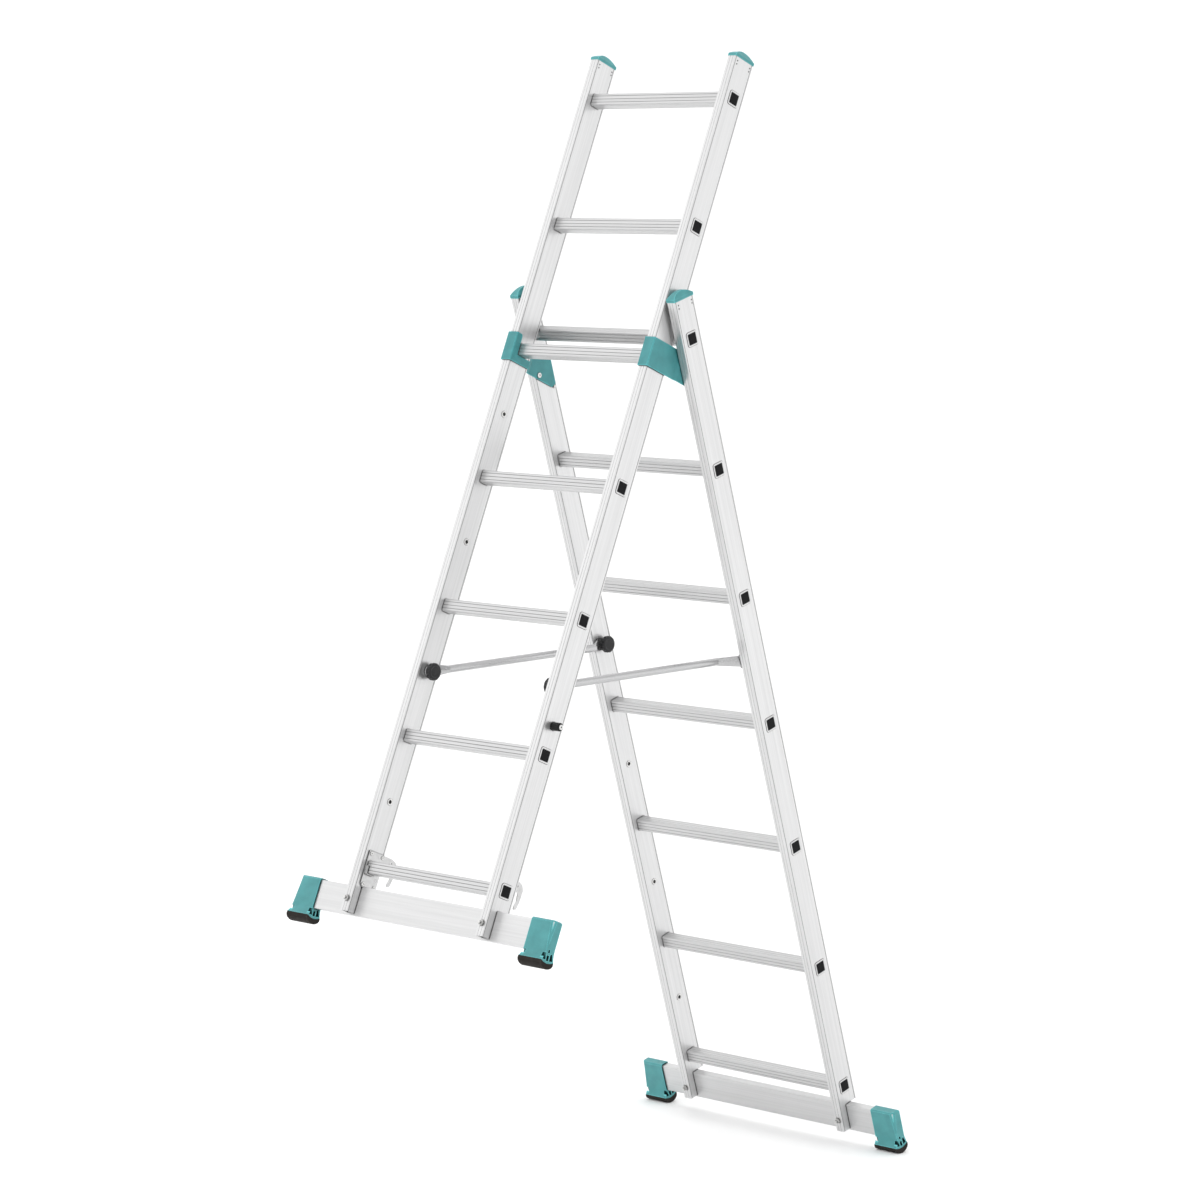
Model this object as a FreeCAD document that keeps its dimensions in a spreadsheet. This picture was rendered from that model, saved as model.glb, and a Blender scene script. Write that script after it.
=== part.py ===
import FreeCAD, Part
import os
import math

from FreeCAD import Vector, Rotation, Placement

# Two-section multi position ladder, standing on a stair step.
#
# World frame: X along the rungs (right is +X), Y from the front section to the rear section,
# Z up, floor at Z = 0. Each section is drawn in its own frame: its origin is the middle of its
# top rung, X is the world's, Z runs up the stiles and Y runs rearward, square to the stiles.

DRIVING_SIZES = {
    "rung_pitch": 280.0,
    "rung_count": 7,
    "rung_size": 26.0,
    "rung_wall": 1.6,
    "rung_corner": 3.0,
    "rung_lip": 0.9,
    "lip_width": 1.7,
    "lip_seam": 0.9,
    "stile_depth": 57.0,
    "stile_width": 21.5,
    "stile_wall": 1.6,
    "stile_above": 84.0,
    "stile_foot": 1778.0,
    "front_width": 413.0,
    "rear_width": 469.0,
    "front_lean": 22.84,
    "rear_lean": 16.7,
    "rear_origin_y": 15.597,
    "rear_origin_z": 1739.283,
    "pivot_drop_rear": 87.3,
    "pivot_ahead_rear": 17.9,
    "pivot_drop_front": 581.0,
    "pivot_behind_front": 88.6,
    "insert_drop": 700.0,
    "insert_bore": 8.0,
    "stud_size": 7.8,
    "bar_top": 1722.0,
    "bar_height": 60.0,
    "bar_depth": 17.0,
    "bar_wall": 2.0,
    "bar_front": 8.0,
    "bar_half_length": 364.5,
    "bolt_drop": 1752.0,
    "boot_inner": 306.5,
    "boot_outer": 368.0,
    "boot_wall": 3.2,
    "sole_drop": 1800.0,
    "sheet_metal": 2.2,
    "slide_gap": 0.9,
    "strap_top": 529.0,
    "strap_height": 61.0,
    "tube_size": 16.0,
    "eye_width": 24.0,
    "eye_plate": 3.4,
    "eye_gap": 1.3,
    "knob_size": 36.0,
    "peg_drop": 1339.5,
}

doc = FreeCAD.newDocument("ladder")
sheet = doc.addObject("Spreadsheet::Sheet", "sizes")
for row, (name, value) in enumerate(DRIVING_SIZES.items(), start=1):
    sheet.set("A%d" % row, name)
    sheet.set("B%d" % row, str(value))
    sheet.setAlias("B%d" % row, name)
doc.recompute()


def size(name):
    return float(sheet.get(name))


LEFT, RIGHT = -1, 1
SIDE_NAME = {LEFT: "left", RIGHT: "right"}
X_AXIS = Vector(1, 0, 0)
Y_AXIS = Vector(0, 1, 0)
RUNG_COUNT = int(size("rung_count"))
HALF_DEPTH = size("stile_depth") / 2
HALF_RUNG = size("rung_size") / 2
OPENING = size("front_lean") + size("rear_lean")
pieces = []


# ---------------------------------------------------------------- frames

def lean_frame(degrees, origin):
    return Placement(origin, Rotation(X_AXIS, degrees))


rear_frame = lean_frame(size("rear_lean"), Vector(0, size("rear_origin_y"), size("rear_origin_z")))
pivot = rear_frame.multVec(Vector(0, -size("pivot_ahead_rear"), -size("pivot_drop_rear")))
front_turn = Rotation(X_AXIS, -size("front_lean"))
pivot_in_front = Vector(0, size("pivot_behind_front"), -size("pivot_drop_front"))
front_frame = Placement(pivot - front_turn.multVec(pivot_in_front), front_turn)
SECTIONS = {
    "rear": (rear_frame, size("rear_width")),
    "front": (front_frame, size("front_width")),
}


def inner_face(width):
    """Distance of a section's inner stile faces from the middle plane."""
    return width / 2 - size("stile_width")


def placed(frame, x=0.0, y=0.0, z=0.0, turn=None):
    return frame.multiply(Placement(Vector(x, y, z), turn or Rotation()))


# ---------------------------------------------------------------- drawing helpers

def origin_plane(body, role):
    return next(f for f in body.Origin.OriginFeatures if f.Role == role)


def new_body(label, placement):
    body = doc.addObject("PartDesign::Body", label)
    body.Label = label
    body.Placement = placement
    pieces.append(body)
    return body


def new_sketch(body, role, offset=0.0):
    sketch = body.newObject("Sketcher::SketchObject", "Sketch")
    sketch.AttachmentSupport = (origin_plane(body, role), [""])
    sketch.MapMode = "FlatFace"
    sketch.AttachmentOffset = Placement(Vector(0, 0, offset), Rotation())
    return sketch


def add_open_path(sketch, points):
    for (a, b), (c, d) in zip(points, points[1:]):
        sketch.addGeometry(Part.LineSegment(Vector(a, b, 0), Vector(c, d, 0)))


def add_outline(sketch, points):
    """A closed outline of straight edges through (a, b) points."""
    add_open_path(sketch, points + points[:1])


def add_arc(sketch, start, through, end):
    points = [Vector(a, b, 0) for a, b in (start, through, end)]
    sketch.addGeometry(Part.Arc(*points))


def add_rectangle(sketch, low, high):
    (a, b), (c, d) = low, high
    add_outline(sketch, [(a, b), (c, b), (c, d), (a, d)])


def add_round_square(sketch, side, radius, middle=(0.0, 0.0)):
    """A square with round corners."""
    mx, my = middle
    half = side / 2
    core = half - radius
    for turn in range(4):
        angle = turn * math.pi / 2
        cosine, sine = round(math.cos(angle)), round(math.sin(angle))

        def spun(a, b):
            return Vector(mx + a * cosine - b * sine, my + a * sine + b * cosine, 0)

        sketch.addGeometry(Part.LineSegment(spun(half, -core), spun(half, core)))
        circle = Part.Circle(spun(core, core), Vector(0, 0, 1), radius)
        sketch.addGeometry(Part.ArcOfCircle(circle, angle, angle + math.pi / 2))


def add_circle(sketch, radius, middle=(0.0, 0.0)):
    sketch.addGeometry(Part.Circle(Vector(middle[0], middle[1], 0), Vector(0, 0, 1), radius))


def pad(body, sketch, length, midplane=False):
    """Extrude a sketch; length is a number or an expression over the sheet."""
    feature = body.newObject("PartDesign::Pad", "Pad")
    feature.Profile = sketch
    feature.Midplane = midplane
    set_length(feature, length)
    return feature


def pocket(body, sketch, length, midplane=False, reverse=False):
    """Cut a sketch into the body and make sure that it really removes material."""
    doc.recompute()
    before = body.Shape.Volume
    feature = body.newObject("PartDesign::Pocket", "Pocket")
    feature.Profile = sketch
    feature.Midplane = midplane
    feature.Reversed = reverse
    set_length(feature, length)
    doc.recompute()
    if feature.Shape.Volume > before - 0.01:
        raise RuntimeError("a pocket cuts nothing in " + body.Label)
    return feature


def set_length(feature, length):
    if isinstance(length, str):
        feature.setExpression("Length", length)
    else:
        feature.Length = length


def pattern_up(body, feature, length, count):
    """Repeat a feature along the body's Z axis."""
    pattern = body.newObject("PartDesign::LinearPattern", "Pattern")
    pattern.Originals = [feature]
    pattern.Direction = (origin_plane(body, "Z_Axis"), [""])
    pattern.Length = length
    pattern.Occurrences = count
    body.Tip = pattern
    return pattern


def group(label, shapes, placement=None):
    """Several identical small pieces, kept as separate solids in one node."""
    feature = doc.addObject("Part::Feature", label)
    feature.Label = label
    feature.Shape = Part.makeCompound(shapes) if len(shapes) > 1 else shapes[0]
    feature.Placement = placement or Placement()
    pieces.append(feature)
    return feature


def cylinder(radius, length, base, direction):
    return Part.makeCylinder(radius, length, base, direction)


def prism(radius, length, base, direction, sides=6):
    """A regular prism, such as a nut or a bolt head."""
    corners = []
    for k in range(sides + 1):
        angle = 2 * math.pi * k / sides
        corners.append(Vector(radius * math.cos(angle), radius * math.sin(angle), 0))
    solid = Part.Face(Part.makePolygon(corners)).extrude(Vector(0, 0, length))
    solid.Placement = Placement(base, Rotation(Vector(0, 0, 1), direction))
    return solid


# ---------------------------------------------------------------- section extrusions

COLLAR_CORNER = 4.5


def stile_outline():
    """Half of the closed extrusion's outline, front to rear on the +X side, then mirrored."""
    half_width = size("stile_width") / 2
    edge = 1.2
    groove_half, groove_depth = 0.9, 1.1
    face_groove = 3.6
    side = [(face_groove - 0.5, -HALF_DEPTH), (face_groove, 0.5 - HALF_DEPTH)]
    side += [(face_groove + 0.5, -HALF_DEPTH), (half_width - edge, -HALF_DEPTH)]
    side += [(half_width, edge - HALF_DEPTH)]
    for middle in (3.0 - HALF_DEPTH, HALF_DEPTH - 4.5):
        side += [(half_width, middle - groove_half), (half_width - groove_depth, middle)]
        side += [(half_width, middle + groove_half)]
    side += [(half_width, HALF_DEPTH - edge), (half_width - edge, HALF_DEPTH)]
    return side + [(-a, b) for a, b in reversed(side)]


def make_stile(section, side):
    frame, width = SECTIONS[section]
    foot = size("stile_foot")
    middle = width / 2 - size("stile_width") / 2
    label = "%s_%s_stile" % (section, SIDE_NAME[side])
    body = new_body(label, placed(frame, side * middle, 0, -foot))
    outline = new_sketch(body, "XY_Plane")
    add_outline(outline, stile_outline())
    cavity_x = size("stile_width") / 2 - size("stile_wall")
    cavity_y = HALF_DEPTH - size("stile_wall")
    add_rectangle(outline, (-cavity_x, -cavity_y), (cavity_x, cavity_y))
    pad(body, outline, "sizes.stile_foot + sizes.stile_above")

    lowest_rung = foot - (RUNG_COUNT - 1) * size("rung_pitch")
    collars = new_sketch(body, "YZ_Plane", side * size("stile_width") / 2)
    collar = size("rung_size") + 2 * size("lip_width")
    for k in range(RUNG_COUNT):
        add_round_square(collars, collar, COLLAR_CORNER, (0, lowest_rung + k * size("rung_pitch")))
    raised = pad(body, collars, "sizes.rung_lip")
    raised.Reversed = side == LEFT
    seams = new_sketch(body, "YZ_Plane", side * size("stile_width") / 2)
    seam = size("lip_seam")
    for k in range(RUNG_COUNT):
        middle_of_rung = (0, lowest_rung + k * size("rung_pitch"))
        add_round_square(seams, collar, COLLAR_CORNER, middle_of_rung)
        add_round_square(seams, collar + 2 * seam, COLLAR_CORNER + seam, middle_of_rung)
    pocket(body, seams, "sizes.lip_seam", reverse=(side == LEFT))
    rung_hole = new_sketch(body, "YZ_Plane")
    add_round_square(rung_hole, size("rung_size"), size("rung_corner"), (0, lowest_rung))
    hole = pocket(body, rung_hole, "sizes.stile_width + 4", midplane=True)
    pattern_up(body, hole, (RUNG_COUNT - 1) * size("rung_pitch"), RUNG_COUNT)

    bar_seat = new_sketch(body, "YZ_Plane")
    seat_top = foot - size("bar_top")
    add_rectangle(bar_seat, (-size("bar_front"), -5), (HALF_DEPTH + 5, seat_top))
    pocket(body, bar_seat, "sizes.stile_width + 4", midplane=True)

    for face in (LEFT, RIGHT):
        crimps = new_sketch(body, "YZ_Plane", face * size("stile_width") / 2)
        for y, z in CAP_CRIMPS:
            add_circle(crimps, CRIMP_R, (y, z + foot + size("stile_above")))
        pocket(body, crimps, 1.2, reverse=(face == LEFT))

    insert_hole = new_sketch(body, "YZ_Plane")
    for k in range(4):
        add_circle(insert_hole, INSERT_BODY_R, (0, foot - size("insert_drop") - k * size("rung_pitch")))
    pocket(body, insert_hole, "sizes.stile_width", reverse=(side == LEFT))

    bolt_hole = new_sketch(body, "XZ_Plane")
    add_circle(bolt_hole, BOLT_R, (0, foot - size("bolt_drop")))
    pocket(body, bolt_hole, "sizes.stile_depth", reverse=True)
    if section == "rear":
        hinge_hole = new_sketch(body, "YZ_Plane")
        add_circle(hinge_hole, RIVET_SHANK_R, (-size("pivot_ahead_rear"), foot - size("pivot_drop_rear")))
        stop_y, stop_z = stop_pin_place()
        add_circle(hinge_hole, STOP_PIN_R, (stop_y, foot + stop_z))
        pocket(body, hinge_hole, "sizes.stile_width", reverse=(side == LEFT))


def make_rung(section, number):
    frame, width = SECTIONS[section]
    drop = (number - 1) * size("rung_pitch")
    body = new_body("%s_rung_%d" % (section, number), placed(frame, 0, 0, -drop))
    core = size("rung_size") - 2 * size("rung_wall")
    profile = new_sketch(body, "YZ_Plane")
    add_round_square(profile, size("rung_size"), size("rung_corner"))
    add_round_square(profile, core, size("rung_corner") - size("rung_wall"))
    pad(body, profile, width + 2 * size("rung_lip"), midplane=True)
    grooves = new_sketch(body, "YZ_Plane")
    for turn in range(4):
        for across in (-7.0, 0.0, 7.0):
            add_tread_groove(grooves, across, turn)
    inside = 2 * inner_face(width)
    pocket(body, grooves, inside, midplane=True)


def add_tread_groove(sketch, across, turn):
    """A shallow V along the rung, on the face that a quarter turn count picks."""
    depth, half = 0.8, 0.9
    angle = turn * math.pi / 2
    cosine, sine = round(math.cos(angle)), round(math.sin(angle))
    above, below = HALF_RUNG + 0.5, HALF_RUNG - depth
    corners = [(above, across - half), (above, across + half), (below, across)]
    add_outline(sketch, [(a * cosine - b * sine, a * sine + b * cosine) for a, b in corners])


def make_rung_plugs(section):
    """Black plugs pressed into both ends of every rung."""
    frame, width = SECTIONS[section]
    core = size("rung_size") - 2 * size("rung_wall")
    radius = size("rung_corner") - size("rung_wall")
    length, proud = 14.0, 0.3
    end = width / 2 + size("rung_lip") + proud
    plugs = []
    for number in range(RUNG_COUNT):
        for side in (LEFT, RIGHT):
            start = end - length if side == RIGHT else -end
            base = Vector(start, -core / 2, -number * size("rung_pitch") - core / 2)
            plug = Part.makeBox(length, core, core, base)
            long_edges = [e for e in plug.Edges if abs(e.tangentAt(e.FirstParameter).x) > 0.9]
            plugs.append(plug.makeFillet(radius, long_edges))
    group(section + "_rung_plugs", plugs, frame)


# ---------------------------------------------------------------- caps, inserts, rivets

INSERT_BODY_R = 5.4
INSERT_FLANGE_R = 7.0
INSERT_FLANGE = 0.8
BOLT_R = 3.0
RIVET_SHANK_R = 4.0
STOP_PIN_R = 3.0
POP_R = 2.4
CRIMP_R = 1.7
CAP_CRIMPS = [(-19.5, -8.0), (20.0, -8.0), (-19.5, -15.0), (20.0, -15.0)]


def make_top_cap(section, side):
    frame, width = SECTIONS[section]
    middle = width / 2 - size("stile_width") / 2
    label = "%s_%s_top_cap" % (section, SIDE_NAME[side])
    body = new_body(label, placed(frame, side * middle, 0, size("stile_above")))
    half_y = HALF_DEPTH + 0.4
    half_x = size("stile_width") / 2 + 0.4
    shoulder, crown, flank_foot = 6.0, 17.5, 4.5
    dome = new_sketch(body, "YZ_Plane")
    add_arc(dome, (half_y, shoulder), (0, crown), (-half_y, shoulder))
    add_open_path(dome, [(-half_y, shoulder), (-half_y, 0), (half_y, 0), (half_y, shoulder)])
    pad(body, dome, 2 * half_x, midplane=True)
    flanks = new_sketch(body, "XZ_Plane")
    ridge = 3.5
    for sign in (-1, 1):
        corners = [(sign * (half_x + 1), flank_foot), (sign * (half_x + 1), crown + 2)]
        add_outline(flanks, corners + [(sign * ridge, crown + 2)])
    pocket(body, flanks, "sizes.stile_depth + 6", midplane=True)
    tongue_x = size("stile_width") / 2 - size("stile_wall")
    tongue_y = HALF_DEPTH - size("stile_wall")
    tongue = new_sketch(body, "XY_Plane")
    add_rectangle(tongue, (-tongue_x, -tongue_y), (tongue_x, tongue_y))
    stem = pad(body, tongue, 24.0)
    stem.Reversed = True
    bore = new_sketch(body, "XY_Plane", -24.0)
    add_rectangle(bore, (2.2 - tongue_x, 2.2 - tongue_y), (tongue_x - 2.2, tongue_y - 2.2))
    pocket(body, bore, 22.0, reverse=True)


def pop_rivet(base, outward):
    """A blind rivet's head lying on a face, its shank behind it and a small open bore."""
    head = cylinder(POP_R * 1.7, 1.2, base, outward)
    shank = cylinder(POP_R, 5.0, base, outward.negative())
    bore = cylinder(1.1, 4.0, base + outward * 1.3, outward.negative())
    return head.fuse(shank).cut(bore).removeSplitter()


def make_inserts(section):
    """Flanged threaded inserts in the inner stile faces, midway between rungs."""
    frame, width = SECTIONS[section]
    inserts = []
    for side in (LEFT, RIGHT):
        outward = X_AXIS * -side
        for k in range(4):
            drop = size("insert_drop") + k * size("rung_pitch")
            face = Vector(side * inner_face(width), 0, -drop)
            flange = cylinder(INSERT_FLANGE_R, INSERT_FLANGE, face, outward)
            barrel = cylinder(INSERT_BODY_R, 13.0, face, outward.negative())
            top = face + outward * (INSERT_FLANGE + 1)
            bore = cylinder(size("insert_bore") / 2, 20.0, top, outward.negative())
            inserts.append(flange.fuse(barrel).cut(bore).removeSplitter())
    group(section + "_threaded_inserts", inserts, frame)


# ---------------------------------------------------------------- stabilizer bar and feet

def make_bar(section):
    frame, width = SECTIONS[section]
    body = new_body(section + "_stabilizer_bar", placed(frame))
    top = -size("bar_top")
    bottom = top - size("bar_height")
    front, rear = -size("bar_front"), size("bar_depth") - size("bar_front")
    wall = size("bar_wall")
    profile = new_sketch(body, "YZ_Plane")
    add_rectangle(profile, (front, bottom), (rear, top))
    add_rectangle(profile, (front + wall, bottom + wall), (rear - wall, top - wall))
    pad(body, profile, "2 * sizes.bar_half_length", midplane=True)
    holes = new_sketch(body, "XZ_Plane")
    middle = width / 2 - size("stile_width") / 2
    for side in (LEFT, RIGHT):
        add_circle(holes, BOLT_R, (side * middle, -size("bolt_drop")))
    pocket(body, holes, "4 * sizes.bar_depth", midplane=True)


# Side view of the boot's skirt and sole: rearward, and up from the sole_drop level.
SKIRT_REAR_WAIST = 26.0
SKIRT_FRONT_WAIST = 20.0
SKIRT_FRONT = (-18.8, 1.7)
SKIRT_REAR = (16.8, 1.7)
SKIRT_BELLY = (-1.0, -3.0)
SOLE_FRONT = [(-19.4, -3.5), (-17.0, -8.5)]
SOLE_REAR = [(17.4, -3.5), (15.0, -8.5)]
SOLE_BELLY = (-1.0, -14.5)
RIB_WINDOWS = [
    [(-11.5, 17.0), (-8.5, 15.0), (-7.0, 3.0), (-15.3, 3.8)],
    [(-5.4, 12.5), (0.6, 12.5), (1.4, 1.6), (-5.0, 1.8)],
    [(3.6, 15.0), (7.6, 17.5), (13.2, 3.8), (4.2, 2.2)],
    [(-5.0, 23.5), (-1.0, 23.5), (-0.2, 17.5), (-4.6, 17.5)],
]


def make_boot(section, side):
    """Plastic sleeve over the end of the bar, flared front and rear above the sole."""
    frame = SECTIONS[section][0]
    label = "%s_%s_boot" % (section, SIDE_NAME[side])
    start = size("boot_inner") if side == RIGHT else -size("boot_outer")
    length = size("boot_outer") - size("boot_inner")
    body = new_body(label, placed(frame, start, 0, -size("sole_drop")))
    front = -size("bar_front") - size("boot_wall")
    rear = size("bar_depth") - size("bar_front") + size("boot_wall")
    top = size("sole_drop") - size("bar_top") + size("boot_wall")
    bevel = 3.0
    shell = new_sketch(body, "YZ_Plane")
    add_open_path(shell, [
        (rear, SKIRT_REAR_WAIST), (rear, top - bevel), (rear - bevel, top),
        (front + bevel, top), (front, top - bevel), (front, SKIRT_FRONT_WAIST),
    ])
    add_arc(shell, (front, SKIRT_FRONT_WAIST), (front - 1.9, 10.5), SKIRT_FRONT)
    add_arc(shell, SKIRT_FRONT, SKIRT_BELLY, SKIRT_REAR)
    add_arc(shell, SKIRT_REAR, (rear + 1.2, 13.0), (rear, SKIRT_REAR_WAIST))
    pad(body, shell, length)
    cavity = new_sketch(body, "YZ_Plane", 0 if side == RIGHT else length)
    bar_low = size("sole_drop") - size("bar_top") - size("bar_height")
    bar_high = size("sole_drop") - size("bar_top")
    add_rectangle(cavity, (-size("bar_front"), bar_low), (size("bar_depth") - size("bar_front"), bar_high))
    depth = size("bar_half_length") - size("boot_inner")
    pocket(body, cavity, depth, reverse=(side == RIGHT))
    for end, reverse in ((0.0, True), (length, False)):
        windows = new_sketch(body, "YZ_Plane", end)
        is_outer = (end > 0) == (side == RIGHT)
        for outline in RIB_WINDOWS if is_outer else RIB_WINDOWS[:3]:
            add_outline(windows, outline)
        pocket(body, windows, 8.0, reverse=reverse)
    round_boot(body, side, length, front, top)


def round_boot(body, side, length, front, top):
    """Slope the sleeve's outer front corner and round its outer top edge."""
    outer = length if side == RIGHT else 0.0
    crown = new_sketch(body, "XZ_Plane")
    radius = 4.0
    inside = outer - side * radius
    bulge = radius * (1 - math.sqrt(0.5))
    add_arc(crown, (inside, top), (outer - side * bulge, top - bulge), (outer, top - radius))
    add_open_path(crown, [(outer, top - radius), (outer + side, top - radius), (outer + side, top + 1),
                          (inside, top + 1), (inside, top)])
    pocket(body, crown, "4 * sizes.bar_depth", midplane=True)
    slope = body.newObject("PartDesign::SubtractiveLoft", "Slope")
    sections = []
    for height, cut in ((top + 1, 9.0), (SKIRT_FRONT_WAIST, 0.8)):
        corner = new_sketch(body, "XY_Plane", height)
        add_outline(corner, [
            (outer - side * cut, front - 0.2), (outer + side * 0.2, front - 0.2),
            (outer + side * 0.2, front + cut + 0.2),
        ])
        sections.append(corner)
    slope.Profile = sections[0]
    slope.Sections = [sections[1]]
    slope.Ruled = True
    body.Tip = slope


def make_sole(section, side):
    """Rubber pad with a curved tread, so that it stands at any lean."""
    frame = SECTIONS[section][0]
    label = "%s_%s_sole" % (section, SIDE_NAME[side])
    overhang = 0.6
    length = size("boot_outer") - size("boot_inner") + 2 * overhang
    start = size("boot_inner") - overhang if side == RIGHT else -size("boot_outer") - overhang
    body = new_body(label, placed(frame, start, 0, -size("sole_drop")))
    profile = new_sketch(body, "YZ_Plane")
    add_arc(profile, SKIRT_FRONT, SKIRT_BELLY, SKIRT_REAR)
    add_open_path(profile, [SKIRT_REAR] + SOLE_REAR)
    add_arc(profile, SOLE_REAR[1], SOLE_BELLY, SOLE_FRONT[1])
    add_open_path(profile, [SOLE_FRONT[1], SOLE_FRONT[0], SKIRT_FRONT])
    pad(body, profile, length)


def make_bar_bolts(section):
    frame, width = SECTIONS[section]
    middle = width / 2 - size("stile_width") / 2
    rear = size("bar_depth") - size("bar_front")
    bolts, nuts = [], []
    for side in (LEFT, RIGHT):
        seat = Vector(side * middle, rear, -size("bolt_drop"))
        shank = cylinder(BOLT_R, rear + HALF_DEPTH + 10.0, seat, Y_AXIS.negative())
        bolts.append(shank.fuse(prism(5.8, 4.0, seat, Y_AXIS)).removeSplitter())
        face = Vector(side * middle, -HALF_DEPTH, -size("bolt_drop"))
        washer = cylinder(6.5, 1.0, face, Y_AXIS.negative())
        nut = prism(5.6, 5.0, face - Y_AXIS, Y_AXIS.negative())
        bore = cylinder(BOLT_R, 9.0, face + Y_AXIS, Y_AXIS.negative())
        nuts.append(washer.fuse(nut).cut(bore).removeSplitter())
    group(section + "_bar_bolts", bolts, frame)
    group(section + "_bar_nuts", nuts, frame)


# ---------------------------------------------------------------- guide brackets and hinge

STRAP_INSIDE_TONGUE = 27.0
RUNG_3_BELOW_STRAP_TOP = 31.0
STRAP_STEP_START = 50.0
STRAP_STEP_END = 58.0
STRAP_REAR_TOP = 101.0
STRAP_REAR_LOW = 141.0
STRAP_CHAMFER_DROP = 50.0
STRAP_CHAMFER_REAR = 134.0


def rear_from_front(y, z):
    """Section coordinates of a point, taken from the front section's frame to the rear's."""
    point = rear_frame.inverse().multVec(front_frame.multVec(Vector(0, y, z)))
    return point.y, point.z


def stop_pin_place():
    """The stop pin's middle in the rear frame: it just clears the strap's chamfered corner."""
    low = Vector(0, STRAP_REAR_LOW, -size("strap_top") - STRAP_CHAMFER_DROP)
    high = Vector(0, STRAP_CHAMFER_REAR, -size("strap_top") - size("strap_height"))
    along = (high - low).normalize()
    outward = Vector(0, -along.z, along.y)
    middle = (low + high) * 0.5 + outward * (STOP_PIN_R + 0.3)
    return rear_from_front(middle.y, middle.z)


def make_bracket(side):
    """Folded strap: hook flange inside, band across the front, plate running back to the hinge."""
    body = new_body("%s_guide_bracket" % SIDE_NAME[side],
                    placed(front_frame, 0, 0, -size("strap_top") - size("strap_height")))
    thick, gap = size("sheet_metal"), size("slide_gap")
    width = size("front_width")
    flange_out = inner_face(width) - gap
    band_in = -HALF_DEPTH - 0.6
    plate_in = width / 2 + gap + 0.5
    rear_out = inner_face(size("rear_width")) - 0.25
    inside = [(flange_out, STRAP_INSIDE_TONGUE), (flange_out, band_in), (plate_in, band_in)]
    inside += [(plate_in, STRAP_STEP_START), (rear_out - thick, STRAP_STEP_END)]
    inside += [(rear_out - thick, STRAP_REAR_LOW + 4)]
    outside = [(rear_out, STRAP_REAR_LOW + 4), (rear_out, STRAP_STEP_END)]
    outside += [(plate_in + thick, STRAP_STEP_START), (plate_in + thick, band_in - thick + 1.5)]
    outside += [(plate_in + thick - 1.5, band_in - thick), (flange_out - thick + 1.5, band_in - thick)]
    outside += [(flange_out - thick, band_in - thick + 1.5), (flange_out - thick, STRAP_INSIDE_TONGUE)]
    strip = new_sketch(body, "XY_Plane")
    add_outline(strip, [(side * a, b) for a, b in inside + outside])
    pad(body, strip, "sizes.strap_height")

    def from_top(drop):
        return size("strap_height") - drop

    rear_cut = new_sketch(body, "YZ_Plane")
    far = STRAP_REAR_LOW + 10
    add_outline(rear_cut, [
        (STRAP_REAR_TOP, from_top(-1)), (STRAP_REAR_TOP, from_top(0)),
        (STRAP_REAR_LOW, from_top(STRAP_CHAMFER_DROP)),
        (STRAP_CHAMFER_REAR, from_top(size("strap_height"))),
        (STRAP_CHAMFER_REAR, from_top(size("strap_height") + 1)),
        (far, from_top(size("strap_height") + 1)), (far, from_top(-1)),
    ])
    pocket(body, rear_cut, "2 * sizes.rear_width", midplane=True)

    jaw = new_sketch(body, "YZ_Plane", side * (flange_out + 5))
    arm_top = from_top(RUNG_3_BELOW_STRAP_TOP + HALF_RUNG + 0.8)
    jaw_front = -HALF_RUNG - 1.2
    corner = 6.0
    bulge = corner * (1 - math.sqrt(0.5))
    top = from_top(0)
    add_open_path(jaw, [(jaw_front, top - corner), (jaw_front, arm_top), (STRAP_INSIDE_TONGUE + 1, arm_top),
                        (STRAP_INSIDE_TONGUE + 1, top + 1), (jaw_front - corner, top + 1),
                        (jaw_front - corner, top)])
    add_arc(jaw, (jaw_front - corner, top), (jaw_front - bulge, top - bulge), (jaw_front, top - corner))
    pocket(body, jaw, 14.0, reverse=(side == LEFT))

    hinge = new_sketch(body, "YZ_Plane")
    hinge_height = size("strap_top") + size("strap_height") - size("pivot_drop_front")
    add_circle(hinge, RIVET_SHANK_R + 0.06, (size("pivot_behind_front"), hinge_height))
    pocket(body, hinge, "2 * sizes.rear_width", midplane=True)


def make_hinge_rivets():
    """Shouldered rivets in the rear stiles that carry the brackets."""
    rivets = []
    face = inner_face(size("rear_width"))
    for side in (LEFT, RIGHT):
        inward = X_AXIS * -side
        base = Vector(side * face, -size("pivot_ahead_rear"), -size("pivot_drop_rear"))
        shank = cylinder(RIVET_SHANK_R, 9.0, base - inward * 6.0, inward)
        head_base = base + inward * (size("sheet_metal") + 0.4)
        head = cylinder(5.4, 1.8, head_base, inward)
        dimple = cylinder(2.2, 1.0, head_base + inward * 2.0, inward.negative())
        tail = cylinder(RIVET_SHANK_R + 1.5, 2.0, base - inward * (size("stile_wall") + 2.0), inward)
        rivets.append(shank.fuse([head, tail]).cut(dimple).removeSplitter())
    group("hinge_rivets", rivets, rear_frame)


def make_stop_pins():
    """Pins on the rear stiles that the brackets' lower rear corners come to rest on."""
    pins = []
    face = inner_face(size("rear_width"))
    stop_y, stop_z = stop_pin_place()
    for side in (LEFT, RIGHT):
        inward = X_AXIS * -side
        base = Vector(side * face, stop_y, stop_z)
        pin = cylinder(STOP_PIN_R, 9.0, base - inward * 5.0, inward)
        tail = cylinder(STOP_PIN_R + 1.2, 1.5, base - inward * (size("stile_wall") + 1.5), inward)
        pins.append(pin.fuse(tail).removeSplitter())
    group("bracket_stop_pins", pins, rear_frame)


# ---------------------------------------------------------------- hooks and pegs on the front section

HOOK_PLATE = 3.0
HOOK_LIP = 7.0
HOOK_RIVETS = [(-11.0, 28.0), (21.5, 27.5), (-10.5, -36.0), (21.0, -36.5)]


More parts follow.
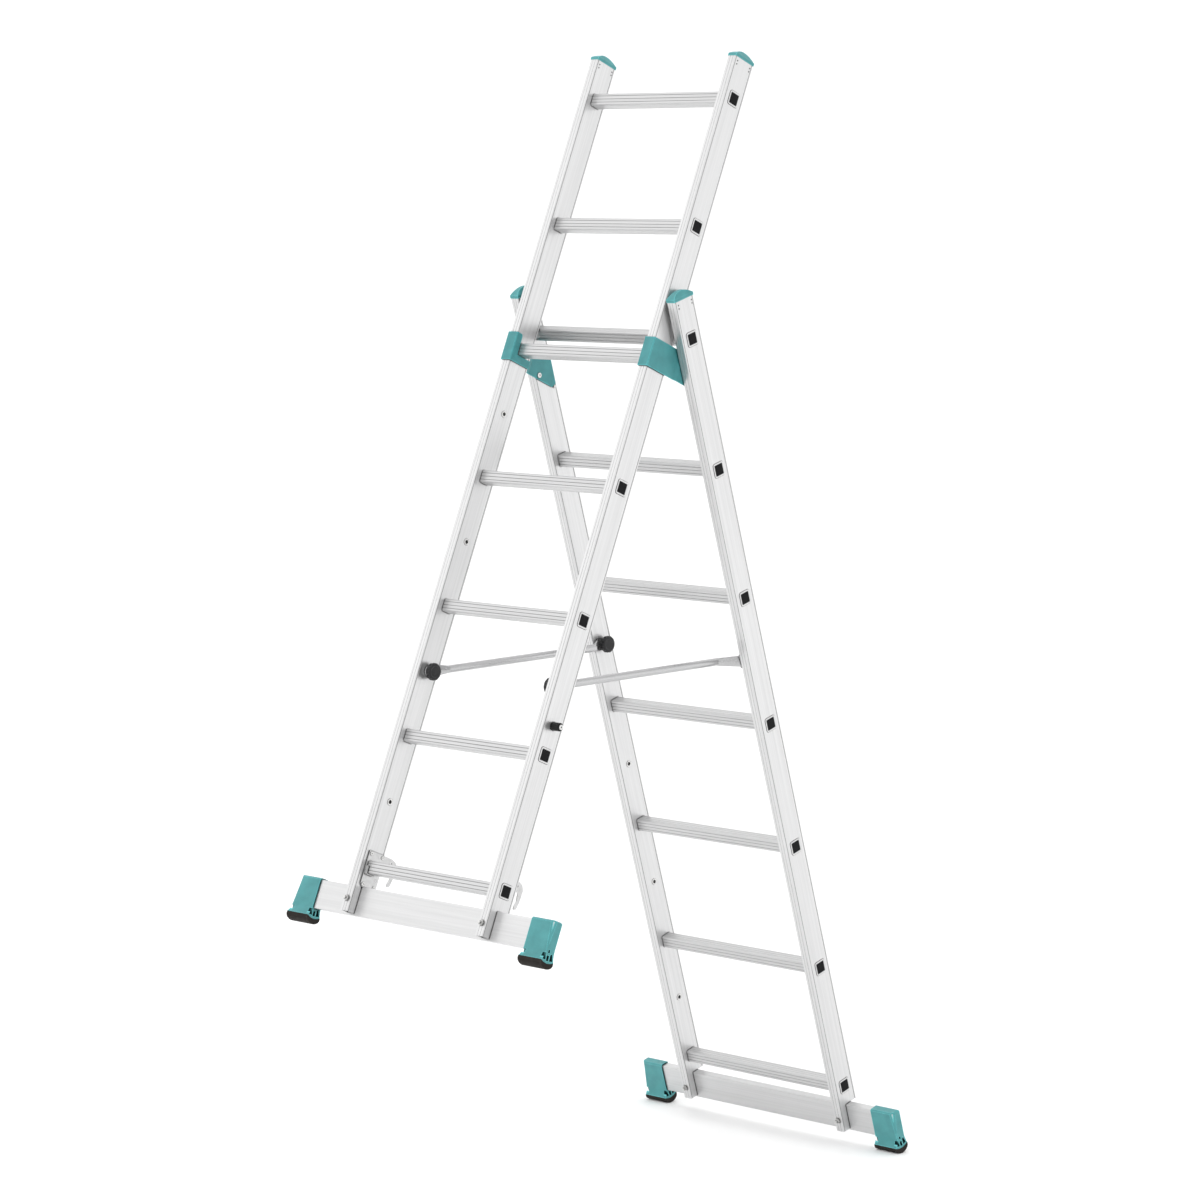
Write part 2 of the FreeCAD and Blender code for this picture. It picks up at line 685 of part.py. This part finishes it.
def make_hook(side):
    """Plate around the bottom rung whose rear finger drops over a rung of the rear section."""
    drop = (RUNG_COUNT - 1) * size("rung_pitch")
    start = inner_face(size("front_width")) * side - (HOOK_PLATE if side == RIGHT else 0)
    body = new_body("%s_catch_hook" % SIDE_NAME[side], placed(front_frame, start, 0, -drop))
    outline = new_sketch(body, "YZ_Plane")
    add_outline(outline, [
        (-17, 33), (28, 33), (50, 32), (61, 28), (67, 19), (66, -4), (62, -22), (56, -24),
        (54.5, -18), (58, -6), (56, 8), (50, 14), (28, 14), (28, -42), (-10, -42), (-17, -35),
    ])
    add_round_square(outline, size("rung_size") + 0.2, size("rung_corner"))
    pad(body, outline, HOOK_PLATE)
    lip = new_sketch(body, "YZ_Plane")
    lip_top = -HALF_RUNG - 0.5
    add_outline(lip, [
        (-HALF_RUNG - 3.5, 2.0), (-HALF_RUNG - 1.2, 2.0), (-HALF_RUNG - 1.2, lip_top), (6.0, lip_top),
        (6.0, lip_top - 2.2), (-HALF_RUNG - 1.5, lip_top - 2.2), (-HALF_RUNG - 3.5, lip_top),
    ])
    fold = pad(body, lip, HOOK_PLATE + HOOK_LIP if side == LEFT else HOOK_LIP)
    fold.Reversed = side == RIGHT
    holes = new_sketch(body, "YZ_Plane")
    for y, z in HOOK_RIVETS:
        add_circle(holes, POP_R, (y, z))
    add_circle(holes, 2.0, (49.5, 22.5))
    pocket(body, holes, "2 * sizes.stile_width", midplane=True)


def hook_rivet_spots():
    drop = (RUNG_COUNT - 1) * size("rung_pitch")
    face = inner_face(size("front_width")) - HOOK_PLATE
    spots = []
    for side in (LEFT, RIGHT):
        for y, z in HOOK_RIVETS:
            spots.append((Vector(side * face, y, z - drop), X_AXIS * -side))
    return spots


def make_hook_rivets():
    group("hook_rivets", [pop_rivet(base, outward) for base, outward in hook_rivet_spots()], front_frame)


PEG_R = 8.5
PEG_LENGTH = 20.0
PEG_SCREW_R = 2.5


def peg_spots():
    face = size("front_width") / 2
    return [(Vector(side * face, 0, -size("peg_drop")), X_AXIS * side) for side in (LEFT, RIGHT)]


def make_pegs():
    """Black bumper pegs on the outer faces, each held by a long screw."""
    pegs, screws = [], []
    for base, outward in peg_spots():
        peg = cylinder(PEG_R, PEG_LENGTH, base, outward)
        peg = peg.makeFillet(1.6, [e for e in peg.Edges if e.Curve.TypeId == "Part::GeomCircle"])
        pegs.append(peg.cut(cylinder(PEG_SCREW_R, PEG_LENGTH + 2, base - outward, outward)))
        tip = base + outward * PEG_LENGTH
        shank = cylinder(PEG_SCREW_R, PEG_LENGTH + 8.0, tip, outward.negative())
        head = cylinder(5.2, 2.2, tip, outward)
        recess = cylinder(1.8, 1.6, tip + outward * 2.4, outward.negative())
        screws.append(shank.fuse(head).cut(recess).removeSplitter())
    group("bumper_pegs", pegs, front_frame)
    group("bumper_peg_screws", screws, front_frame)


# ---------------------------------------------------------------- braces and their knobs

def insert_point(section, count):
    """World point on the middle plane at a section's insert, counted from its highest one."""
    drop = size("insert_drop") + count * size("rung_pitch")
    return SECTIONS[section][0].multVec(Vector(0, 0, -drop))


brace_rear = insert_point("rear", 0)
brace_front = insert_point("front", 2)
brace_run = brace_front - brace_rear
BRACE_LENGTH = brace_run.Length
brace_frame = Placement(brace_rear, Rotation(Vector(0, -1, 0), brace_run))
EYE_FRONT = inner_face(size("front_width")) - size("eye_gap")
EYE_REAR = inner_face(size("rear_width")) - size("eye_gap") + 0.3
STUD_HOLE_R = 4.25


def ellipse_wire(x, y, half_x, half_z):
    """A closed ellipse in the plane square to the brace."""
    middle = Vector(x, y, 0)
    if half_z > half_x:
        ellipse = Part.Ellipse(middle + Vector(0, 0, half_z), middle + Vector(half_x, 0, 0), middle)
    else:
        ellipse = Part.Circle(middle, Y_AXIS, half_x)
    return Part.Wire([ellipse.toShape()])


def eye_plate(side, outer, centre_y, toward):
    """Flattened end of the tube: a round-ended plate that reaches toward the tube."""
    thick, half = size("eye_plate"), size("eye_width") / 2
    low = min(side * outer, side * (outer - thick))
    disc = cylinder(half, thick, Vector(low, centre_y, 0), X_AXIS)
    reach = 18.0
    start = centre_y if toward > 0 else centre_y - reach
    return disc.fuse(Part.makeBox(thick, reach, 2 * half, Vector(low, start, -half)))


def make_brace(side):
    """Round tube with flattened eyes; the rear eye is cranked outward to the wider section."""
    thick, half = size("eye_plate"), size("eye_width") / 2
    tube_r = size("tube_size") / 2
    tube_x = side * (EYE_FRONT - tube_r)
    rear_round, front_round = -64.0, 46.0 - BRACE_LENGTH
    rear_flat, front_flat = -18.0, 18.0 - BRACE_LENGTH
    tube = cylinder(tube_r, rear_round - front_round, Vector(tube_x, front_round, 0), Y_AXIS)
    rear_x = side * (EYE_REAR - thick / 2)
    front_x = side * (EYE_FRONT - thick / 2)
    crank = Part.makeLoft([ellipse_wire(tube_x, rear_round, tube_r, tube_r),
                           ellipse_wire(rear_x, rear_flat, thick / 2, half)], True, True)
    taper = Part.makeLoft([ellipse_wire(front_x, front_flat, thick / 2, half),
                           ellipse_wire(tube_x, front_round, tube_r, tube_r)], True, True)
    rear_eye = eye_plate(side, EYE_REAR, 0.0, -1)
    front_eye = eye_plate(side, EYE_FRONT, -BRACE_LENGTH, 1)
    solid = tube.fuse([crank, taper, rear_eye, front_eye])
    for centre_y in (0.0, -BRACE_LENGTH):
        solid = solid.cut(cylinder(STUD_HOLE_R, 600.0, Vector(-300, centre_y, 0), X_AXIS))
    group("%s_brace" % SIDE_NAME[side], [solid.removeSplitter()], brace_frame)


KNOB_NECK = 5.0
KNOB_DISC = 11.0
KNOB_BORE = 8.0
KNOB_SPACE = 0.2


def knob_seat(side, outer):
    """Where a knob's neck starts, just inside the brace's eye."""
    return side * (outer - size("eye_plate") - KNOB_SPACE)


def make_knob(label, centre, side, outer):
    inward = Rotation(Vector(0, 0, 1), X_AXIS * -side)
    seat = Vector(knob_seat(side, outer), centre.y, centre.z)
    body = new_body(label, Placement(seat, inward))
    radius = size("knob_size") / 2
    total = KNOB_NECK + KNOB_DISC
    profile = new_sketch(body, "XZ_Plane")
    bore = size("stud_size") / 2
    add_outline(profile, [
        (0, KNOB_BORE), (bore, KNOB_BORE), (bore, 0), (8.5, 0), (9.5, KNOB_NECK), (radius - 1.5, KNOB_NECK),
        (radius, KNOB_NECK + 1.5), (radius, total - 2.5), (radius - 2.0, total - 0.6), (radius - 4.0, total),
        (radius - 6.0, total), (radius - 7.0, total - 1.0), (0, total - 0.6),
    ])
    turned = body.newObject("PartDesign::Revolution", "Revolution")
    turned.Profile = profile
    turned.ReferenceAxis = (profile, ["V_Axis"])
    turned.Angle = 360
    flute = new_sketch(body, "XY_Plane", KNOB_NECK)
    add_circle(flute, 4.0, (radius + 2.4, 0))
    cut = pocket(body, flute, KNOB_DISC + 2, reverse=True)
    pattern = body.newObject("PartDesign::PolarPattern", "Pattern")
    pattern.Originals = [cut]
    pattern.Axis = (origin_plane(body, "Z_Axis"), [""])
    pattern.Angle = 360
    pattern.Occurrences = 10
    body.Tip = pattern


def make_stud(label, centre, side, outer, reach):
    """The knob's threaded stud, from its blind bore out through the eye."""
    seat = Vector(knob_seat(side, outer), centre.y, centre.z)
    start = seat - X_AXIS * (side * KNOB_BORE)
    group(label, [cylinder(size("stud_size") / 2, KNOB_BORE + reach, start, X_AXIS * side)])


def make_brace_fastening(side):
    name = SIDE_NAME[side]
    through_eye = size("eye_plate") + KNOB_SPACE
    make_knob("rear_%s_knob" % name, brace_rear, side, EYE_REAR)
    make_stud("rear_%s_knob_stud" % name, brace_rear, side, EYE_REAR, through_eye + 11.0)
    make_knob("front_%s_knob" % name, brace_front, side, EYE_FRONT)
    make_stud("front_%s_knob_stud" % name, brace_front, side, EYE_FRONT, through_eye + 0.2)


# ---------------------------------------------------------------- the whole ladder

for section in SECTIONS:
    for number in range(1, RUNG_COUNT + 1):
        make_rung(section, number)
    make_rung_plugs(section)
    make_inserts(section)
    make_bar(section)
    make_bar_bolts(section)
    for side in (LEFT, RIGHT):
        make_stile(section, side)
        make_top_cap(section, side)
        make_boot(section, side)
        make_sole(section, side)
for side in (LEFT, RIGHT):
    make_bracket(side)
    make_hook(side)
    make_brace(side)
    make_brace_fastening(side)
make_hinge_rivets()
make_stop_pins()
make_hook_rivets()
make_pegs()
doc.recompute()


def drill_stiles():
    """Holes for the hook rivets and the peg screws, in the front stiles' thin walls."""
    for side in (LEFT, RIGHT):
        stile = doc.getObjectsByLabel("front_%s_stile" % SIDE_NAME[side])[0]
        holes = new_sketch(stile, "YZ_Plane")
        drop = (RUNG_COUNT - 1) * size("rung_pitch")
        for y, z in HOOK_RIVETS:
            add_circle(holes, POP_R, (y, z - drop + size("stile_foot")))
        pocket(stile, holes, "sizes.stile_width", reverse=(side == LEFT))
        screw = new_sketch(stile, "YZ_Plane")
        add_circle(screw, PEG_SCREW_R, (0, size("stile_foot") - size("peg_drop")))
        pocket(stile, screw, "sizes.stile_width", reverse=(side == RIGHT))


drill_stiles()
doc.recompute()

for thing in doc.Objects:
    if "Invalid" in thing.State or "Error" in thing.State:
        raise RuntimeError("%s failed: %s" % (thing.Label, thing.State))
os.makedirs("parts", exist_ok=True)
for piece in pieces:
    shape = piece.Shape
    if shape.isNull() or not shape.isValid():
        raise RuntimeError(piece.Label + " has no valid shape")
    shape.exportStep("parts/%s.step" % piece.Label)

box = Part.makeCompound([piece.Shape for piece in pieces]).BoundBox
print("pieces", len(pieces), "box", box)
print("opening", round(OPENING, 2), "brace length", round(BRACE_LENGTH, 2))
print("pivot", pivot, "brace rear", brace_rear, "brace front", brace_front)
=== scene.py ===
import math

import bmesh
import bpy
from mathutils import Matrix, Vector

# Looks of the two-section ladder: finishes for the CAD pieces, soft edges, light and camera.
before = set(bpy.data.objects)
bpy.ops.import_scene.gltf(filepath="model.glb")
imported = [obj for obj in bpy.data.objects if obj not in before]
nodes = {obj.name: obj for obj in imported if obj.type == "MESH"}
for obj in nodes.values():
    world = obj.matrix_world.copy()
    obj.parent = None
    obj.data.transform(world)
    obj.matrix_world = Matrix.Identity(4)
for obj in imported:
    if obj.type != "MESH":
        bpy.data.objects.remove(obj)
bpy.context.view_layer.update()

FRONT_LEAN = math.radians(22.84)
REAR_LEAN = math.radians(16.7)
VIEW_AZIMUTH = math.radians(44.35)
VIEW_ELEVATION = math.radians(5.97)
CAMERA_PLACE = Vector((5.7317, -5.8729, 2.0529))
CAMERA_LENS_MM = 119.93
CAMERA_SENSOR_MM = 36.0


# ---------------------------------------------------------------- materials

class Recipe:
    """A Principled material under construction."""

    def __init__(self, name, colour, roughness, metallic=0.0):
        self.material = bpy.data.materials.new(name)
        self.material.use_nodes = True
        self.tree = self.material.node_tree
        self.surface = self.tree.nodes["Principled BSDF"]
        self.surface.inputs["Base Color"].default_value = (*colour, 1.0)
        self.surface.inputs["Roughness"].default_value = roughness
        self.surface.inputs["Metallic"].default_value = metallic

    def add(self, kind, **settings):
        node = self.tree.nodes.new(kind)
        for key, value in settings.items():
            setattr(node, key, value)
        return node

    def link(self, source, target):
        self.tree.links.new(source, target)

    def noise(self, scale, detail=3.0, stretch=(1.0, 1.0, 1.0), tilt=0.0):
        """Noise in object space, turned by tilt about X and then stretched."""
        where = self.add("ShaderNodeTexCoord")
        turn = self.add("ShaderNodeMapping")
        turn.inputs["Rotation"].default_value = (-tilt, 0.0, 0.0)
        squeeze = self.add("ShaderNodeMapping")
        squeeze.inputs["Scale"].default_value = stretch
        texture = self.add("ShaderNodeTexNoise")
        texture.inputs["Scale"].default_value = scale
        texture.inputs["Detail"].default_value = detail
        self.link(where.outputs["Object"], turn.inputs["Vector"])
        self.link(turn.outputs["Vector"], squeeze.inputs["Vector"])
        self.link(squeeze.outputs["Vector"], texture.inputs["Vector"])
        return texture.outputs["Fac"]

    def remap(self, value, source, target):
        """Map the range source of a value onto the range target, clamped at both ends."""
        spread = self.add("ShaderNodeMapRange")
        for socket, number in zip(("From Min", "From Max", "To Min", "To Max"), (*source, *target)):
            spread.inputs[socket].default_value = number
        self.link(value, spread.inputs["Value"])
        return spread.outputs["Result"]

    def shade_base(self, factor):
        """Multiply the base colour, which has to be linked already, by a factor."""
        shade = self.add("ShaderNodeVectorMath", operation="SCALE")
        base = self.surface.inputs["Base Color"]
        self.link(base.links[0].from_socket, shade.inputs[0])
        self.link(factor, shade.inputs["Scale"])
        self.link(shade.outputs["Vector"], base)

    def vary_roughness(self, noise, low, high):
        """Let the roughness follow the middle of a noise, between two numbers."""
        middle = (0.3, 0.7)
        self.link(self.remap(noise, middle, (low, high)), self.surface.inputs["Roughness"])

    def tint(self, value, low, high):
        """Blend the base colour between two colours."""
        ramp = self.add("ShaderNodeValToRGB")
        ramp.color_ramp.elements[0].position = 0.32
        ramp.color_ramp.elements[1].position = 0.68
        ramp.color_ramp.elements[0].color = (*low, 1.0)
        ramp.color_ramp.elements[1].color = (*high, 1.0)
        self.link(value, ramp.inputs["Fac"])
        self.link(ramp.outputs["Color"], self.surface.inputs["Base Color"])

    def paint_crevice_shade(self, reach, darkest):
        """Painted shade: darken the base colour in grooves, seams and inner corners, and where one
        piece comes close to another.
        """
        occlusion = self.add("ShaderNodeAmbientOcclusion", samples=8)
        occlusion.inputs["Distance"].default_value = reach
        closed_to_open = (0.5, 0.9)
        self.shade_base(self.remap(occlusion.outputs["AO"], closed_to_open, (darkest, 1.0)))

    def paint_edge_highlight(self, reach, pale):
        """Painted highlight: lighten the base colour along sharp edges, where they would catch the
        light.
        """
        rounded = self.add("ShaderNodeBevel", samples=6)
        rounded.inputs["Radius"].default_value = reach
        flat = self.add("ShaderNodeNewGeometry")
        agree = self.add("ShaderNodeVectorMath", operation="DOT_PRODUCT")
        self.link(rounded.outputs["Normal"], agree.inputs[0])
        self.link(flat.outputs["Normal"], agree.inputs[1])
        flat_to_sharp = (0.99, 0.85)
        self.shade_base(self.remap(agree.outputs["Value"], flat_to_sharp, (1.0, pale)))

    def bump(self, value, distance, strength=1.0):
        relief = self.add("ShaderNodeBump")
        relief.inputs["Distance"].default_value = distance
        relief.inputs["Strength"].default_value = strength
        self.link(value, relief.inputs["Height"])
        self.link(relief.outputs["Normal"], self.surface.inputs["Normal"])


CREVICE_REACH = 0.004


def scaled(colour, factor):
    return tuple(min(1.0, c * factor) for c in colour)


def drawn_metal(name, colour, roughness, stretch, tilt=0.0, groove_shade=0.12):
    """Extruded or drawn metal: faint streaks along its length."""
    recipe = Recipe(name, colour, roughness, metallic=0.85)
    streaks = recipe.noise(scale=240.0, detail=4.0, stretch=stretch, tilt=tilt)
    smears = recipe.noise(scale=150.0, stretch=stretch, tilt=tilt)
    recipe.tint(streaks, scaled(colour, 0.94), scaled(colour, 1.04))
    recipe.vary_roughness(smears, roughness - 0.05, roughness + 0.07)
    # Painted shade in the metal's grooves, seams and joints.
    recipe.paint_crevice_shade(reach=CREVICE_REACH, darkest=groove_shade)
    recipe.bump(streaks, distance=0.00006, strength=0.35)
    return recipe.material


def zinc_plated(name, colour, roughness, groove_shade=0.2):
    """Zinc plated steel with a cloudy bloom."""
    recipe = Recipe(name, colour, roughness, metallic=0.9)
    bloom = recipe.noise(scale=90.0, detail=5.0)
    recipe.tint(bloom, scaled(colour, 0.86), scaled(colour, 1.08))
    recipe.vary_roughness(bloom, roughness - 0.08, roughness + 0.1)
    # Painted shade in the fastener's grooves, seams and joints.
    recipe.paint_crevice_shade(reach=CREVICE_REACH, darkest=groove_shade)
    recipe.bump(recipe.noise(scale=900.0, detail=2.0), distance=0.00003, strength=0.3)
    return recipe.material


def plastic(name, colour, roughness, grain=1400.0, relief=0.00005, mottle=0.1, gloss=0.35,
            hollow_reach=CREVICE_REACH, hollow_shade=0.4, edge_reach=0.003, edge_highlight_gain=1.9):
    """Moulded plastic, rubber or powder coat: slight mottling and a fine grain, with painted shade in
    hollows and a painted highlight along sharp edges.
    """
    recipe = Recipe(name, colour, roughness)
    recipe.surface.inputs["Specular IOR Level"].default_value = gloss
    patches = recipe.noise(scale=38.0, detail=4.0)
    recipe.tint(patches, scaled(colour, 1.0 - mottle), scaled(colour, 1.0 + mottle))
    recipe.vary_roughness(recipe.noise(scale=60.0), roughness - 0.05, roughness + 0.08)
    # Painted shade in hollows, seams and joints of the moulding.
    recipe.paint_crevice_shade(reach=hollow_reach, darkest=hollow_shade)
    # Painted highlight along the sharp edges of the moulding.
    recipe.paint_edge_highlight(reach=edge_reach, pale=edge_highlight_gain)
    recipe.bump(recipe.noise(scale=grain, detail=2.0), distance=relief, strength=0.5)
    return recipe.material


ALUMINIUM = (0.662, 0.662, 0.664)
ALONG_Z = (1.0, 1.0, 0.012)
ALONG_X = (0.012, 1.0, 1.0)
ALONG_Y = (1.0, 0.012, 1.0)
TEAL = (0.070, 0.285, 0.295)
finish = {
    "front_stile": drawn_metal("front stile extrusion", ALUMINIUM, 0.34, ALONG_Z, -FRONT_LEAN),
    "rear_stile": drawn_metal("rear stile extrusion", ALUMINIUM, 0.34, ALONG_Z, REAR_LEAN),
    "rung": drawn_metal("rung extrusion", scaled(ALUMINIUM, 0.87), 0.36, ALONG_X, groove_shade=0.5),
    "bar": drawn_metal("stabilizer bar extrusion", scaled(ALUMINIUM, 0.97), 0.36, ALONG_X),
    "brace": drawn_metal("drawn brace tube", (0.49, 0.49, 0.495), 0.22, ALONG_Y),
    "hook": zinc_plated("zinc plated hook plate", (0.60, 0.60, 0.60), 0.33),
    "zinc": zinc_plated("zinc plated fastener", (0.66, 0.66, 0.65), 0.28),
    "teal_plastic": plastic("teal cap plastic", TEAL, 0.36),
    # The boot's hollows get a wider, deeper painted shade.
    "teal_boot": plastic("teal boot plastic", TEAL, 0.40, hollow_reach=0.014, hollow_shade=0.12),
    "teal_coat": plastic("teal powder coat", (0.055, 0.262, 0.275), 0.34, grain=700.0, relief=0.0001),
    "black_plug": plastic("black plug plastic", (0.006, 0.006, 0.007), 0.5, gloss=0.1),
    # The knob's edges get a strong painted highlight.
    "knob": plastic("black knob plastic", (0.013, 0.013, 0.014), 0.36, gloss=0.3,
                    edge_reach=0.0025, edge_highlight_gain=4.0),
    "peg": plastic("black peg plastic", (0.010, 0.010, 0.010), 0.42, gloss=0.2),
    "sole": plastic("sole rubber", (0.022, 0.019, 0.017), 0.7, grain=500.0, relief=0.00025,
                    mottle=0.25, gloss=0.15),
}


def finish_of(name):
    """The finish of a CAD piece, read from its name."""
    if name.endswith("_stile"):
        return name.split("_")[0] + "_stile"
    if "_rung_" in name:
        return "black_plug" if name.endswith("plugs") else "rung"
    endings = {
        "stabilizer_bar": "bar", "top_cap": "teal_plastic", "boot": "teal_boot", "sole": "sole",
        "guide_bracket": "teal_coat", "brace": "brace", "hook": "hook", "knob": "knob", "pegs": "peg",
    }
    for ending, key in endings.items():
        if name.endswith(ending):
            return key
    return "zinc"


def soften(obj, width, segments=2, angle=40.0):
    """Round the sharp edges a little, with normals that leave the faces beside them flat."""
    bevel = obj.modifiers.new("edges", "BEVEL")
    bevel.width = width
    bevel.segments = segments
    bevel.limit_method = "ANGLE"
    bevel.angle_limit = math.radians(angle)
    bevel.harden_normals = True


def paint(obj, key):
    obj.data.materials.clear()
    obj.data.materials.append(finish[key])


EDGE_WIDTHS = {"guide_bracket": 0.0008, "hook": 0.0005, "top_cap": 0.0008, "boot": 0.0007}
for name, obj in nodes.items():
    paint(obj, finish_of(name))
    for ending, width in EDGE_WIDTHS.items():
        if name.endswith(ending):
            soften(obj, width)


# ---------------------------------------------------------------- stage, light and camera

def add_floor():
    """A pale sweep: floor that curves up into a backdrop behind the ladder."""
    half_width, near, back, bend, top = 14.0, -10.0, 9.0, 4.0, 12.0
    gap_under_soles = 0.0003
    bend_steps = 16
    turn = Matrix.Rotation(VIEW_AZIMUTH, 4, "Z")
    profile = [(near, 0.0), (back - bend, 0.0)]
    for k in range(1, bend_steps + 1):
        angle = k * math.pi / (2 * bend_steps)
        profile.append((back - bend + bend * math.sin(angle), bend - bend * math.cos(angle)))
    profile.append((back, top))
    build = bmesh.new()
    rows = []
    for y, z in profile:
        ends = [turn @ Vector((x, y, z - gap_under_soles)) for x in (-half_width, half_width)]
        rows.append([build.verts.new(end) for end in ends])
    for (a, b), (c, d) in zip(rows, rows[1:]):
        build.faces.new((a, b, d, c)).smooth = True
    mesh = bpy.data.meshes.new("floor")
    build.to_mesh(mesh)
    build.free()
    floor = bpy.data.objects.new("floor", mesh)
    bpy.context.scene.collection.objects.link(floor)
    recipe = Recipe("studio floor", (0.95, 0.95, 0.95), 0.7)
    recipe.tint(recipe.noise(scale=1.5, detail=2.0), (0.945, 0.945, 0.945), (0.955, 0.955, 0.955))
    recipe.surface.inputs["Specular IOR Level"].default_value = 0.1
    mesh.materials.append(recipe.material)


def add_area(name, place, aim, side, power):
    """A square area light of the given side at place, turned towards aim."""
    lamp = bpy.data.lights.new(name, "AREA")
    lamp.shape = "SQUARE"
    lamp.size = side
    lamp.energy = power
    obj = bpy.data.objects.new(name, lamp)
    obj.location = place
    obj.rotation_euler = (Vector(aim) - Vector(place)).to_track_quat("-Z", "Y").to_euler()
    bpy.context.scene.collection.objects.link(obj)


def add_world(horizon, zenith, full_height=0.8):
    """White light from above that fades towards the horizon."""
    world = bpy.data.worlds.new("studio")
    world.use_nodes = True
    tree = world.node_tree
    where = tree.nodes.new("ShaderNodeTexCoord")
    split = tree.nodes.new("ShaderNodeSeparateXYZ")
    level = tree.nodes.new("ShaderNodeMapRange")
    level.inputs["From Min"].default_value = 0.0
    level.inputs["From Max"].default_value = full_height
    level.inputs["To Min"].default_value = horizon
    level.inputs["To Max"].default_value = zenith
    back = tree.nodes["Background"]
    back.inputs["Color"].default_value = (1.0, 1.0, 1.0, 1.0)
    tree.links.new(where.outputs["Generated"], split.inputs["Vector"])
    tree.links.new(split.outputs["Z"], level.inputs["Value"])
    tree.links.new(level.outputs["Result"], back.inputs["Strength"])
    bpy.context.scene.world = world


def add_camera():
    """The photograph's own view."""
    level = math.cos(VIEW_ELEVATION)
    right = Vector((math.cos(VIEW_AZIMUTH), math.sin(VIEW_AZIMUTH), 0.0))
    back = Vector((
        math.sin(VIEW_AZIMUTH) * level,
        -math.cos(VIEW_AZIMUTH) * level,
        math.sin(VIEW_ELEVATION),
    ))
    up = back.cross(right)
    data = bpy.data.cameras.new("camera")
    data.lens = CAMERA_LENS_MM
    data.sensor_width = CAMERA_SENSOR_MM
    data.clip_end = 60.0
    camera = bpy.data.objects.new("camera", data)
    turn = Matrix((right, up, back)).transposed()
    camera.matrix_world = Matrix.Translation(CAMERA_PLACE) @ turn.to_4x4()
    bpy.context.scene.collection.objects.link(camera)
    bpy.context.scene.camera = camera


add_floor()
add_world(horizon=0.98, zenith=1.10)
add_area("front softbox", place=(-4.1, -3.4, 3.8), aim=(0.0, 0.0, 1.2), side=4.0, power=22.0)
add_area("side softbox", place=(3.4, 3.5, 1.5), aim=(0.0, 0.0, 1.2), side=3.0, power=10.0)
add_area("top light", place=(1.0, -5.5, 6.0), aim=(0.0, 0.0, 1.1), side=2.0, power=60.0)
add_area("sweep", place=(-1.5, 1.5, 7.5), aim=(-4.5, 4.5, 1.0), side=5.0, power=120.0)
add_camera()
bpy.context.scene.view_settings.view_transform = "Standard"
